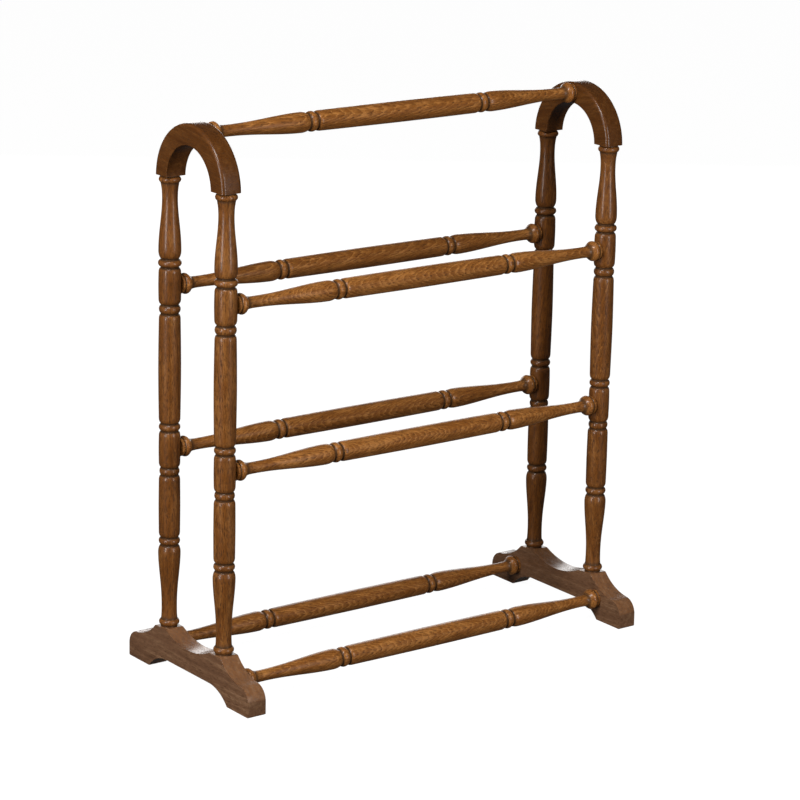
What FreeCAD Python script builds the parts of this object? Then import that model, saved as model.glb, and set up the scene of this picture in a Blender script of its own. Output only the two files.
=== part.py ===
import FreeCAD, Part
import math
import os

# A turned oak quilt rack: two end frames (foot, two posts, arch) joined by seven alike turned rails.
# Millimetres. +X runs along the rails, -Y is the front, +Z is up, and the origin is on the floor
# below the middle of the rack. Every joint is a glued round tenon in a blind bore.

# Layout
POST_SPACING_X = 728.0      # left to right, between post axes
POST_SPACING_Y = 153.0      # front to back, between post axes
PAD_HEIGHT = 72.5           # floor to the top of a foot, where a post stands
LOWER_BEAD_HEIGHT = 212.0   # floor to the single bead above the lower vase
MIDDLE_RAIL_HEIGHT = 359.0
POST_TOP_HEIGHT = 786.0     # floor to the underside of an arch
UPPER_RAIL_DROP = 170.5     # from there down to the upper rails
BOTTOM_RAIL_HEIGHT = 35.6
BOTTOM_RAIL_OUTSET = 28.0   # how far the bottom rails stand outboard of the post axes

# Feet
FOOT_THICKNESS = 32.0
TOE_REACH = 91.5            # post axis to the end of the toe
PAD_HALF_LENGTH = 15.0
PAD_INNER_ROUND = 8.0
PAD_OUTER_ROUND = 6.0
HOLLOW_CORNER_HEIGHT = 43.5  # where the two slopes of the hollow would meet
OGEE_RUN = 23.0             # outer corner of the pad to the corner of the ogee
OGEE_CORNER_HEIGHT = 48.3
TOE_CORNER_HEIGHT = 41.6
TOE_ROUND = 24.0
TOE_CHAMFER = 1.5
SOLE_LENGTH = 58.0          # along the floor, under each toe
CUTOUT_HEIGHT = 23.5
CUTOUT_RUN = 20.4           # slope of the cut-out, measured along the floor
STRAIGHT_LEFT = 1.5         # between one rounded corner of the outline and the next
FOOT_EDGE_ROUND = 3.5

# Arches
ARCH_THICKNESS = 35.0
ARCH_WIDTH = 32.5
ARCH_TRIM = 2.5             # the leg ends are sawn this far above the centre of the half ring
ARCH_OUTER_ROUND = 6.0
ARCH_INNER_ROUND = 1.5

# Posts
BLOCK_LENGTH = 58.0         # a stretch between two grooves, which a rail enters
UPPER_BLOCK_RADIUS = 17.45
MIDDLE_BLOCK_RADIUS = 16.75
LONG_BARREL_RADIUS = 17.45
SHORT_BARREL_RADIUS = 16.75
BARREL_EASE = 0.35          # how much slimmer a barrel or a block is near its ends
LONG_BARREL_EASE = 0.9
BEAD_WIDTH = 12.3
UPPER_BEAD_WIDTH = 14.4     # of the bead below the upper block
FULL_BEAD_WIDTH = 12.9      # of the bead above the upper block
FULL_BEAD_RADIUS = 17.9
FLAT_BEAD_RADIUS = 16.5
LOWEST_FLAT_BEAD_RADIUS = 15.5
GROOVE_RADIUS = 13.6
VASE_RADIUS = 17.4
NECK_RADIUS = 11.95
NECK_LENGTH = 24.0          # middle of the slim stretch to the ring beside it
TOP_RING_RADIUS = 17.0
BOTTOM_RING_RADIUS = 15.9
RING_WIDTH = 9.6
BASE_COVE_WIDTH = 2.7       # the straight hollow between the lower ring and the foot
HEAD_COVE_WIDTH = 1.8       # and between the upper ring and the arch
HEAD_RADIUS = 14.2
BASE_RADIUS = 13.0

# Rails
RAIL_RADIUS = 16.3
RAIL_EASE = 0.6
RAIL_BEAD_OFFSET = 162.0    # middle of the rail to the middle of a bead
RAIL_BEAD_WIDTH = 14.5
RAIL_BEAD_RADIUS = 15.8
RAIL_GROOVE_RADIUS = 12.6
RAIL_VASE_RADIUS = 15.95
RAIL_NECK_RADIUS = 9.0
RAIL_NECK_LENGTH = 26.0     # middle of the slim stretch to the crest of the collar
COLLAR_RADIUS = 16.35
COLLAR_INSET = 26.5         # post axis to the crest of the collar
COLLAR_FALL = 5.2           # crest to the fine groove behind it
COLLAR_DROP = 0.7           # half-way down the fall
COLLAR_EDGE_RADIUS = 15.0   # foot of the fall, at the lip of the fine groove
COLLAR_GROOVE_RADIUS = 13.6
COLLAR_GROOVE_SLOPE = 0.6   # half the width of the fine groove
RAIL_END_RADIUS = 14.6      # the disc between the fine groove and the shoulder

# Shared by every turned piece
GROOVE_FLOOR = 0.8          # half the width of the flat floor of a groove
CORNER_RUN = 8.0            # the rounded end of a barrel, from the middle of its groove
CORNER_SHARES = ((0.05, 0.32), (0.2, 0.6), (0.5, 0.86), (0.8, 0.98), (1.0, 1.0))  # run, and rise
SHOULDER_RUN = 12.0         # groove to the fullest part of a vase
SHOULDER_SKEW = 0.9         # below 1 moves the slim end of a vase's taper towards its shoulder
TAPER_STEPS = 6
# Flares: distance from a ring or a crest, and how much of the rise from the neck is reached there
LOWER_FLARE = ((2.2, 0.58), (5.0, 0.35), (10.0, 0.14))
UPPER_FLARE = ((14.0, 0.14), (8.0, 0.42), (4.0, 0.72), (0.0, 1.0))
COLLAR_FLARE = ((15.0, 0.03), (11.0, 0.12), (7.5, 0.34), (5.5, 0.58), (3.5, 0.82), (1.6, 0.96), (0.0, 1.0))

# Joints
POST_TENON_RADIUS = 8.0
POST_TENON_LENGTH = 20.0
RAIL_TENON_RADIUS = 6.0
RAIL_TENON_LENGTH = 20.0
GLUE_GAP = 0.1              # round a tenon in its bore
GLUE_POCKET = 1.5           # past the end of a tenon
SEAT_DEPTH = 0.5            # flat spot cut in a round block for a rail's shoulder
SEAT_GAP = 0.3              # round a shoulder in its flat spot

UPPER_RAIL_HEIGHT = POST_TOP_HEIGHT - UPPER_RAIL_DROP
POST_X = POST_SPACING_X / 2
POST_Y = POST_SPACING_Y / 2
FOOT_HALF_LENGTH = POST_Y + TOE_REACH
BOTTOM_RAIL_Y = POST_Y + BOTTOM_RAIL_OUTSET
ARCH_CENTRE_HEIGHT = POST_TOP_HEIGHT - ARCH_TRIM
TOP_RAIL_HEIGHT = ARCH_CENTRE_HEIGHT + POST_Y


class Turning:
    """The outline of a turned piece: distance along its axis, and radius."""

    def __init__(self, along, radius):
        self.at = FreeCAD.Vector(radius, 0, along)
        self.edges = []

    def line(self, along, radius):
        end = FreeCAD.Vector(radius, 0, along)
        self.edges.append(Part.LineSegment(self.at, end).toShape())
        self.at = end

    def arc(self, middle_along, middle_radius, along, radius):
        middle = FreeCAD.Vector(middle_radius, 0, middle_along)
        end = FreeCAD.Vector(radius, 0, along)
        self.edges.append(Part.Arc(self.at, middle, end).toShape())
        self.at = end

    def curve(self, stations):
        points = [self.at] + [FreeCAD.Vector(radius, 0, along) for along, radius in stations]
        spline = Part.BSplineCurve()
        spline.interpolate(points)
        self.edges.append(spline.toShape())
        self.at = points[-1]


def revolved(edges):
    """The solid round the Z axis whose outline, with the axis, the edges close."""
    wire = Part.Wire(Part.__sortEdges__(edges))
    return Part.Face(wire).revolve(FreeCAD.Vector(0, 0, 0), FreeCAD.Vector(0, 0, 1), 360)


def bead(turning, start, end, radius, groove):
    """A round band between the middles of two flat-floored grooves."""
    turning.line(start + GROOVE_FLOOR, groove)
    turning.arc((start + end) / 2, radius, end - GROOVE_FLOOR, groove)
    turning.line(end, groove)


def corner(groove_at, full_at, groove, radius):
    """Stations up a rounded corner, from the edge of a groove's floor to the full radius."""
    edge = groove_at + math.copysign(GROOVE_FLOOR, full_at - groove_at)
    stations = [(edge, groove)]
    for run, rise in CORNER_SHARES:
        stations.append((edge + run * (full_at - edge), groove + rise * (radius - groove)))
    return stations


def barrel(turning, start, end, radius, groove, ease):
    """A plain stretch with rounded ends and a slight swell, between the middles of two grooves."""
    stations = corner(start, start + CORNER_RUN, groove, radius - ease)
    far_stations = corner(end, end - CORNER_RUN, groove, radius - ease)
    turning.line(*stations[0])
    turning.curve(stations[1:] + [((start + end) / 2, radius)] + far_stations[::-1])
    turning.line(end, groove)


def vase(groove_at, neck_at, radius, groove, neck):
    """Stations of a round shoulder and its long taper, from the edge of a groove's floor to a neck."""
    shoulder = groove_at + math.copysign(SHOULDER_RUN, neck_at - groove_at)
    stations = corner(groove_at, shoulder, groove, radius)
    for step in range(1, TAPER_STEPS + 1):
        share = step / TAPER_STEPS
        level = (1.0 + math.cos(math.pi * share ** SHOULDER_SKEW)) / 2
        stations.append((shoulder + share * (neck_at - shoulder), neck + level * (radius - neck)))
    return stations


def turned_post():
    """A post on the Z axis, from the tenon in the foot to the tenon in the arch."""
    lower_bead_start = LOWER_BEAD_HEIGHT - BEAD_WIDTH / 2
    lower_bead_end = LOWER_BEAD_HEIGHT + BEAD_WIDTH / 2
    middle_start = MIDDLE_RAIL_HEIGHT - BLOCK_LENGTH / 2
    middle_end = MIDDLE_RAIL_HEIGHT + BLOCK_LENGTH / 2
    upper_start = UPPER_RAIL_HEIGHT - BLOCK_LENGTH / 2
    upper_end = UPPER_RAIL_HEIGHT + BLOCK_LENGTH / 2
    bottom_ring_start = PAD_HEIGHT + BASE_COVE_WIDTH
    bottom_ring_end = bottom_ring_start + RING_WIDTH
    top_ring_end = POST_TOP_HEIGHT - HEAD_COVE_WIDTH
    top_ring_start = top_ring_end - RING_WIDTH
    post = Turning(PAD_HEIGHT - POST_TENON_LENGTH, 0)
    post.line(PAD_HEIGHT - POST_TENON_LENGTH, POST_TENON_RADIUS)
    post.line(PAD_HEIGHT, POST_TENON_RADIUS)
    post.line(PAD_HEIGHT, BASE_RADIUS)
    post.line(bottom_ring_start, BASE_RADIUS)
    post.arc((bottom_ring_start + bottom_ring_end) / 2, BOTTOM_RING_RADIUS, bottom_ring_end, BASE_RADIUS)
    lower_neck_at = bottom_ring_end + NECK_LENGTH
    lower_vase = vase(lower_bead_start, lower_neck_at, VASE_RADIUS, GROOVE_RADIUS, NECK_RADIUS)
    base_rise = BASE_RADIUS - NECK_RADIUS
    lower_flare = [(bottom_ring_end + run, NECK_RADIUS + share * base_rise) for run, share in LOWER_FLARE]
    post.curve(lower_flare + lower_vase[::-1])
    post.line(lower_bead_start, GROOVE_RADIUS)
    bead(post, lower_bead_start, lower_bead_end, FLAT_BEAD_RADIUS, GROOVE_RADIUS)
    barrel(post, lower_bead_end, middle_start - BEAD_WIDTH, SHORT_BARREL_RADIUS, GROOVE_RADIUS, BARREL_EASE)
    bead(post, middle_start - BEAD_WIDTH, middle_start, LOWEST_FLAT_BEAD_RADIUS, GROOVE_RADIUS)
    barrel(post, middle_start, middle_end, MIDDLE_BLOCK_RADIUS, GROOVE_RADIUS, BARREL_EASE)
    bead(post, middle_end, middle_end + BEAD_WIDTH, FLAT_BEAD_RADIUS, GROOVE_RADIUS)
    long_barrel_end = upper_start - UPPER_BEAD_WIDTH
    long_barrel_start = middle_end + BEAD_WIDTH
    barrel(post, long_barrel_start, long_barrel_end, LONG_BARREL_RADIUS, GROOVE_RADIUS, LONG_BARREL_EASE)
    bead(post, long_barrel_end, upper_start, FLAT_BEAD_RADIUS, GROOVE_RADIUS)
    barrel(post, upper_start, upper_end, UPPER_BLOCK_RADIUS, GROOVE_RADIUS, BARREL_EASE)
    upper_vase_start = upper_end + FULL_BEAD_WIDTH
    bead(post, upper_end, upper_vase_start, FULL_BEAD_RADIUS, GROOVE_RADIUS)
    upper_neck_at = top_ring_start - NECK_LENGTH
    upper_vase = vase(upper_vase_start, upper_neck_at, VASE_RADIUS, GROOVE_RADIUS, NECK_RADIUS)
    post.line(*upper_vase[0])
    head_rise = HEAD_RADIUS - NECK_RADIUS
    upper_flare = [(top_ring_start - back, NECK_RADIUS + share * head_rise) for back, share in UPPER_FLARE]
    post.curve(upper_vase[1:] + upper_flare)
    post.arc((top_ring_start + top_ring_end) / 2, TOP_RING_RADIUS, top_ring_end, HEAD_RADIUS)
    post.line(POST_TOP_HEIGHT, HEAD_RADIUS)
    post.line(POST_TOP_HEIGHT, POST_TENON_RADIUS)
    post.line(POST_TOP_HEIGHT + POST_TENON_LENGTH, POST_TENON_RADIUS)
    post.line(POST_TOP_HEIGHT + POST_TENON_LENGTH, 0)
    post.line(PAD_HEIGHT - POST_TENON_LENGTH, 0)
    return revolved(post.edges)


def turned_rail(shoulder_x):
    """A rail on the X axis whose shoulders stand at plus and minus shoulder_x."""
    bead_start = RAIL_BEAD_OFFSET - RAIL_BEAD_WIDTH / 2
    bead_end = RAIL_BEAD_OFFSET + RAIL_BEAD_WIDTH / 2
    crest = POST_X - COLLAR_INSET
    groove_at = crest + COLLAR_FALL
    tip = shoulder_x + RAIL_TENON_LENGTH
    slim = RAIL_RADIUS - RAIL_EASE
    barrel_end = corner(bead_start, bead_start - CORNER_RUN, RAIL_GROOVE_RADIUS, slim)[::-1]
    half = Turning(*barrel_end[0])
    half.curve(barrel_end[1:])
    half.line(bead_start, RAIL_GROOVE_RADIUS)
    bead(half, bead_start, bead_end, RAIL_BEAD_RADIUS, RAIL_GROOVE_RADIUS)
    neck_at = crest - RAIL_NECK_LENGTH
    stations = vase(bead_end, neck_at, RAIL_VASE_RADIUS, RAIL_GROOVE_RADIUS, RAIL_NECK_RADIUS)
    half.line(*stations[0])
    rise = COLLAR_RADIUS - RAIL_NECK_RADIUS
    collar_flare = [(crest - back, RAIL_NECK_RADIUS + share * rise) for back, share in COLLAR_FLARE]
    half.curve(stations[1:] + collar_flare)
    edge_at = groove_at - COLLAR_GROOVE_SLOPE
    half.arc(crest + COLLAR_FALL / 2, COLLAR_RADIUS - COLLAR_DROP, edge_at, COLLAR_EDGE_RADIUS)
    half.line(groove_at, COLLAR_GROOVE_RADIUS)
    half.line(groove_at + COLLAR_GROOVE_SLOPE, RAIL_END_RADIUS)
    half.line(shoulder_x, RAIL_END_RADIUS)
    half.line(shoulder_x, RAIL_TENON_RADIUS)
    half.line(tip, RAIL_TENON_RADIUS)
    half.line(tip, 0)
    other = [edge.mirror(FreeCAD.Vector(0, 0, 0), FreeCAD.Vector(0, 0, 1)) for edge in half.edges]
    middle = Turning(CORNER_RUN - bead_start, slim)
    middle.arc(0, RAIL_RADIUS, bead_start - CORNER_RUN, slim)
    axis = Turning(-tip, 0)
    axis.line(tip, 0)
    rail = revolved(half.edges + other + middle.edges + axis.edges)
    rail.rotate(FreeCAD.Vector(0, 0, 0), FreeCAD.Vector(0, 1, 0), 90)
    return rail


def rounded_outline(corners):
    """A closed wire in the YZ plane through (y, z, round) corners; a round of 0 leaves a corner sharp."""
    edges = []
    points = [FreeCAD.Vector(0, y, z) for y, z, round_off in corners]
    starts = []
    ends = []
    for index, corner in enumerate(points):
        before = points[index - 1] - corner
        after = points[(index + 1) % len(points)] - corner
        radius = corners[index][2]
        half_angle = before.getAngle(after) / 2
        back = radius / math.tan(half_angle)
        before.normalize()
        after.normalize()
        starts.append(corner + before * back)
        ends.append(corner + after * back)
        if radius > 0:
            inward = (before + after).normalize()
            middle = corner + inward * (radius / math.sin(half_angle) - radius)
            edges.append(Part.Arc(starts[-1], middle, ends[-1]).toShape())
    for index, end in enumerate(ends):
        edges.append(Part.LineSegment(end, starts[(index + 1) % len(starts)]).toShape())
    return Part.Wire(Part.__sortEdges__(edges))


def corner_reach(before, corner, after, radius):
    """How far along its two sides a corner's rounding reaches."""
    return radius / math.tan((before - corner).getAngle(after - corner) / 2)


def full_round(before, corner, after, reach_before, reach_after):
    """The radius of the fullest rounding that leaves its neighbours' reaches and a short straight."""
    way_in = before - corner
    way_out = after - corner
    reach = min(way_in.Length - reach_before, way_out.Length - reach_after) - STRAIGHT_LEFT
    return reach * math.tan(way_in.getAngle(way_out) / 2)


def foot_blank():
    """A foot centred on x = 0: toes on the floor, a cut-out below, two pads and a hollow on top."""
    hollow = FreeCAD.Vector(0, 0, HOLLOW_CORNER_HEIGHT)
    pad_inner = FreeCAD.Vector(0, POST_Y - PAD_HALF_LENGTH, PAD_HEIGHT)
    pad_outer = FreeCAD.Vector(0, POST_Y + PAD_HALF_LENGTH, PAD_HEIGHT)
    ogee = FreeCAD.Vector(0, pad_outer.y + OGEE_RUN, OGEE_CORNER_HEIGHT)
    toe = FreeCAD.Vector(0, FOOT_HALF_LENGTH, TOE_CORNER_HEIGHT)
    toe_foot = FreeCAD.Vector(0, FOOT_HALF_LENGTH, TOE_CHAMFER)
    sole_outer = FreeCAD.Vector(0, FOOT_HALF_LENGTH - TOE_CHAMFER, 0)
    sole_inner = FreeCAD.Vector(0, FOOT_HALF_LENGTH - SOLE_LENGTH, 0)
    cutout = FreeCAD.Vector(0, sole_inner.y - CUTOUT_RUN, CUTOUT_HEIGHT)
    other_pad = FreeCAD.Vector(0, -pad_inner.y, PAD_HEIGHT)
    other_cutout = FreeCAD.Vector(0, -cutout.y, CUTOUT_HEIGHT)
    pad_inner_reach = corner_reach(hollow, pad_inner, pad_outer, PAD_INNER_ROUND)
    pad_outer_reach = corner_reach(pad_inner, pad_outer, ogee, PAD_OUTER_ROUND)
    toe_reach = corner_reach(ogee, toe, toe_foot, TOE_ROUND)
    hollow_round = full_round(other_pad, hollow, pad_inner, pad_inner_reach, pad_inner_reach)
    ogee_round = full_round(pad_outer, ogee, toe, pad_outer_reach, toe_reach)
    cutout_round = full_round(sole_inner, cutout, other_cutout, 0, 0)
    right = [
        (pad_inner.y, pad_inner.z, PAD_INNER_ROUND),
        (pad_outer.y, pad_outer.z, PAD_OUTER_ROUND),
        (ogee.y, ogee.z, ogee_round),
        (toe.y, toe.z, TOE_ROUND),
        (toe_foot.y, toe_foot.z, 0),
        (sole_outer.y, sole_outer.z, 0),
        (sole_inner.y, sole_inner.z, 0),
        (cutout.y, cutout.z, cutout_round),
    ]
    left = [(-y, z, round_off) for y, z, round_off in reversed(right)]
    wire = rounded_outline([(hollow.y, hollow.z, hollow_round)] + right + left)
    foot = Part.Face(wire).extrude(FreeCAD.Vector(FOOT_THICKNESS, 0, 0))
    foot.translate(FreeCAD.Vector(-FOOT_THICKNESS / 2, 0, 0))
    upper_edges = []
    for edge in foot.Edges:
        box = edge.BoundBox
        along_outline = box.XLength < 0.01
        above_cutout = box.Center.z > CUTOUT_HEIGHT + 1.0
        toe_end = abs(box.Center.y) > FOOT_HALF_LENGTH - 0.01
        if along_outline and (above_cutout or toe_end):
            upper_edges.append(edge)
    return foot.makeFillet(FOOT_EDGE_ROUND, upper_edges)


def arch_blank():
    """A half ring in the YZ plane, centred on x = 0, with its legs sawn level."""
    half = ARCH_THICKNESS / 2
    outer = POST_Y + ARCH_WIDTH / 2
    inner = POST_Y - ARCH_WIDTH / 2
    section = Part.Face(rounded_outline([
        (inner, -half, ARCH_INNER_ROUND),
        (outer, -half, ARCH_OUTER_ROUND),
        (outer, half, ARCH_OUTER_ROUND),
        (inner, half, ARCH_INNER_ROUND),
    ]))
    section.rotate(FreeCAD.Vector(0, 0, 0), FreeCAD.Vector(0, 1, 0), 90)
    ring = section.revolve(FreeCAD.Vector(0, 0, 0), FreeCAD.Vector(1, 0, 0), 180)
    waste = Part.makeBox(2 * half, 2 * outer, ARCH_TRIM, FreeCAD.Vector(-half, -outer, 0))
    arch = ring.cut(waste)
    arch.translate(FreeCAD.Vector(0, 0, ARCH_CENTRE_HEIGHT))
    return arch


def bore(mouth, direction, tenon_radius, tenon_length):
    """The blind hole a tenon goes into, with its glue gap and pocket."""
    return Part.makeCylinder(tenon_radius + GLUE_GAP, tenon_length + GLUE_POCKET, mouth, direction)


def make_foot(side):
    """side is -1 for the left foot and 1 for the right foot."""
    foot = foot_blank()
    foot.translate(FreeCAD.Vector(side * POST_X, 0, 0))
    inner_face = side * (POST_X - FOOT_THICKNESS / 2)
    down = FreeCAD.Vector(0, 0, -1)
    outboard = FreeCAD.Vector(side, 0, 0)
    for way in (-1, 1):
        post_mouth = FreeCAD.Vector(side * POST_X, way * POST_Y, PAD_HEIGHT)
        foot = foot.cut(bore(post_mouth, down, POST_TENON_RADIUS, POST_TENON_LENGTH))
        rail_mouth = FreeCAD.Vector(inner_face, way * BOTTOM_RAIL_Y, BOTTOM_RAIL_HEIGHT)
        foot = foot.cut(bore(rail_mouth, outboard, RAIL_TENON_RADIUS, RAIL_TENON_LENGTH))
    return foot


def make_arch(side):
    """side is -1 for the left arch and 1 for the right arch."""
    arch = arch_blank()
    arch.translate(FreeCAD.Vector(side * POST_X, 0, 0))
    for way in (-1, 1):
        post_mouth = FreeCAD.Vector(side * POST_X, way * POST_Y, POST_TOP_HEIGHT)
        arch = arch.cut(bore(post_mouth, FreeCAD.Vector(0, 0, 1), POST_TENON_RADIUS, POST_TENON_LENGTH))
    rail_mouth = FreeCAD.Vector(side * (POST_X - ARCH_THICKNESS / 2), 0, TOP_RAIL_HEIGHT)
    return arch.cut(bore(rail_mouth, FreeCAD.Vector(side, 0, 0), RAIL_TENON_RADIUS, RAIL_TENON_LENGTH))


def make_post(side, way):
    """A post with a bore and a flat spot for each of its two rails, facing the middle of the rack."""
    post = turned_post()
    inward = FreeCAD.Vector(-side, 0, 0)
    outward = FreeCAD.Vector(side, 0, 0)
    blocks = ((MIDDLE_RAIL_HEIGHT, MIDDLE_BLOCK_RADIUS), (UPPER_RAIL_HEIGHT, UPPER_BLOCK_RADIUS))
    for height, radius in blocks:
        seat = FreeCAD.Vector(side * (SEAT_DEPTH - radius), 0, height)
        post = post.cut(Part.makeCylinder(RAIL_END_RADIUS + SEAT_GAP, radius, seat, inward))
        post = post.cut(bore(seat, outward, RAIL_TENON_RADIUS, RAIL_TENON_LENGTH))
    post.translate(FreeCAD.Vector(side * POST_X, way * POST_Y, 0))
    return post


def make_rail(shoulder_x, y, height):
    rail = turned_rail(shoulder_x)
    rail.translate(FreeCAD.Vector(0, y, height))
    return rail


SIDES = {"left": -1, "right": 1}
WAYS = {"front": -1, "back": 1}
RAIL_ROWS = {
    "upper": (POST_X - UPPER_BLOCK_RADIUS + SEAT_DEPTH, POST_Y, UPPER_RAIL_HEIGHT),
    "middle": (POST_X - MIDDLE_BLOCK_RADIUS + SEAT_DEPTH, POST_Y, MIDDLE_RAIL_HEIGHT),
    "bottom": (POST_X - FOOT_THICKNESS / 2, BOTTOM_RAIL_Y, BOTTOM_RAIL_HEIGHT),
}

parts = {"top_rail": make_rail(POST_X - ARCH_THICKNESS / 2, 0, TOP_RAIL_HEIGHT)}
for row, (shoulder_x, outset, height) in RAIL_ROWS.items():
    for way_name, way in WAYS.items():
        parts[f"{row}_{way_name}_rail"] = make_rail(shoulder_x, way * outset, height)
for side_name, side in SIDES.items():
    parts[f"{side_name}_foot"] = make_foot(side)
    parts[f"{side_name}_arch"] = make_arch(side)
    for way_name, way in WAYS.items():
        parts[f"{side_name}_{way_name}_post"] = make_post(side, way)

os.makedirs("parts", exist_ok=True)
for name, shape in parts.items():
    shape.exportStep(f"parts/{name}.step")
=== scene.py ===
"""Looks for a turned oak quilt rack: posts, rails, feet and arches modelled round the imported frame."""

import math

import bpy
import numpy as np
from mathutils import Matrix, Vector


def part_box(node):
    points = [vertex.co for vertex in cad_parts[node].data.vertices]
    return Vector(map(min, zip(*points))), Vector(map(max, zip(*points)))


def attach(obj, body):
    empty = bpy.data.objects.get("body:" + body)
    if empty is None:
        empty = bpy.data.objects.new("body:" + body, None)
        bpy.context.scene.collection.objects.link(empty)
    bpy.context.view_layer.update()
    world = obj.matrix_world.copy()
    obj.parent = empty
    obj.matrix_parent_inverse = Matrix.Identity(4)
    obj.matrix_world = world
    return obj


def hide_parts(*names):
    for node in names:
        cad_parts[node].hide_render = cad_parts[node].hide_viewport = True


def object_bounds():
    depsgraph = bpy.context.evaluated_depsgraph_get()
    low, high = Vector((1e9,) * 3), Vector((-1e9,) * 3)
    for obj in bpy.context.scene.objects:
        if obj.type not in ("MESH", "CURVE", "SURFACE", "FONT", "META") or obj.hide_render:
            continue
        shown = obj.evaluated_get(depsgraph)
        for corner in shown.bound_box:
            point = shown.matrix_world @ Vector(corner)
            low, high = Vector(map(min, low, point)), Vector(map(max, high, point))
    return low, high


bl_info = {
    "name": "Turned Oak Quilt Rack",
    "version": (1, 0, 0),
    "blender": (4, 5, 0),
    "location": "3D View > Sidebar > Quilt Rack",
    "description": "Turns the posts and rails, shapes the feet and arches, and stains them",
    "category": "Add Mesh",
}

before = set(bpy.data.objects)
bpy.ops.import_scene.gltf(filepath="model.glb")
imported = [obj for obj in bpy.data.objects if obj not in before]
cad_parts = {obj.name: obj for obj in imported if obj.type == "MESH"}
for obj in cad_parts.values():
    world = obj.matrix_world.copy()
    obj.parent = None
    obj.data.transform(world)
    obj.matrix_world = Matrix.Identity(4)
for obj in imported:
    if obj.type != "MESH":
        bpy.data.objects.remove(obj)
cad_low, cad_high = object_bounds()

MM = 0.001
WELD = 0.01 * MM
SMOOTH_BELOW = math.radians(32)
SEAT_DEPTH = 0.5 * MM
# How far each way along a turned piece its surface is compared with its neighbourhood.
RELIEF_REACH = 6.5 * MM
# How strongly the sawn pieces take the pale crest colour, in the millimetres proud that a turned crest would
# stand: real rubbing and painted highlight on rounded edges, painted light on a foot's upper faces.
FOOT_EDGE_RUB_AND_HIGHLIGHT = 2.4
FOOT_TOP_PAINTED_LIGHT = 1.3
ARCH_OUTER_RUB_AND_HIGHLIGHT = 1.5
ARCH_INNER_RUB_AND_HIGHLIGHT = 1.9


# ---------------------------------------------------------------- settings


def length(name, description, default):
    """A size in metres, given in millimetres."""
    size = {"default": default * MM, "precision": 4, "subtype": "DISTANCE", "unit": "LENGTH"}
    return bpy.props.FloatProperty(name=name, description=description, **size)


def factor(name, description, default):
    return bpy.props.FloatProperty(
        name=name, description=description, default=default, min=0, max=1, subtype="FACTOR"
    )


def colour(name, description, default):
    return bpy.props.FloatVectorProperty(
        name=name, description=description, default=default, size=3, min=0, max=1, subtype="COLOR"
    )


class TurningSizes(bpy.types.PropertyGroup):
    """Sizes cut on the lathe, shared by the posts and the rails."""

    steps: bpy.props.IntProperty(
        name="Steps round", description="Faces round a turned piece", default=72, min=24
    )
    groove_radius: length("Post groove radius", "Floor of a post's grooves", 13.6)
    groove_flat: length("Groove floor", "Width of the flat floor of a groove", 1.6)
    bead_width: length("Post bead width", "Groove to groove across a post's lower beads", 12.3)
    upper_bead_width: length("Upper bead width", "The bead below the upper block", 14.4)
    full_bead_width: length("Full bead width", "The bead above the upper block", 12.9)
    block_length: length("Block length", "Groove to groove where a rail enters", 58.0)
    upper_block_radius: length("Upper block radius", "Block that an upper rail enters", 17.45)
    middle_block_radius: length("Middle block radius", "Block that a middle rail enters", 16.75)
    long_barrel_radius: length("Long barrel radius", "Between the two blocks", 17.45)
    short_barrel_radius: length("Short barrel radius", "Below the middle block", 16.75)
    full_bead_radius: length("Top bead radius", "The bead above the upper block", 17.9)
    flat_bead_radius: length("Flat bead radius", "The other beads", 16.5)
    lowest_flat_bead_radius: length("Low bead radius", "The bead below the middle block", 15.5)
    lower_bead_height: length("Lower bead height", "Floor to the bead above the lower vase", 212.0)
    vase_radius: length("Vase radius", "Fullest part of a post's two vases", 17.4)
    neck_radius: length("Neck radius", "Slimmest part of a post", 11.95)
    neck_length: length("Neck length", "Middle of the slim stretch to the ring", 24.0)
    top_ring_radius: length("Top ring radius", "Ring below an arch", 17.0)
    bottom_ring_radius: length("Bottom ring radius", "Ring above a foot", 15.9)
    ring_width: length("Ring width", "Width of both rings", 9.6)
    base_cove: length("Base cove", "Between the lower ring and the foot", 2.7)
    head_cove: length("Head cove", "Between the upper ring and the arch", 1.8)
    head_radius: length("Head radius", "Post end under an arch", 14.2)
    base_radius: length("Base radius", "Post end on a foot", 13.0)
    rail_radius: length("Rail radius", "Middle of a rail", 16.3)
    rail_bead_offset: length("Rail bead offset", "Middle of a rail to the middle of a bead", 162.0)
    rail_bead_width: length("Rail bead width", "Groove to groove across a rail's bead", 14.5)
    rail_bead_radius: length("Rail bead radius", "Top of a rail's bead", 15.8)
    rail_groove_radius: length("Rail groove radius", "Floor of a rail's grooves", 12.6)
    rail_vase_radius: length("Rail vase radius", "Fullest part of a rail's vase", 15.95)
    rail_neck_radius: length("Rail neck radius", "Slimmest part of a rail", 9.0)
    rail_neck_length: length("Rail neck length", "Middle of the slim stretch to the collar's crest", 26.0)
    collar_radius: length("Collar radius", "Crest of a rail's collar", 16.35)
    collar_inset: length("Collar inset", "Post axis to the crest of a collar", 26.5)
    rail_end_radius: length("Rail end radius", "Disc behind the crest", 14.6)
    shoulder: length("Shoulder", "Groove to the fullest part of a vase", 12.0)


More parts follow.
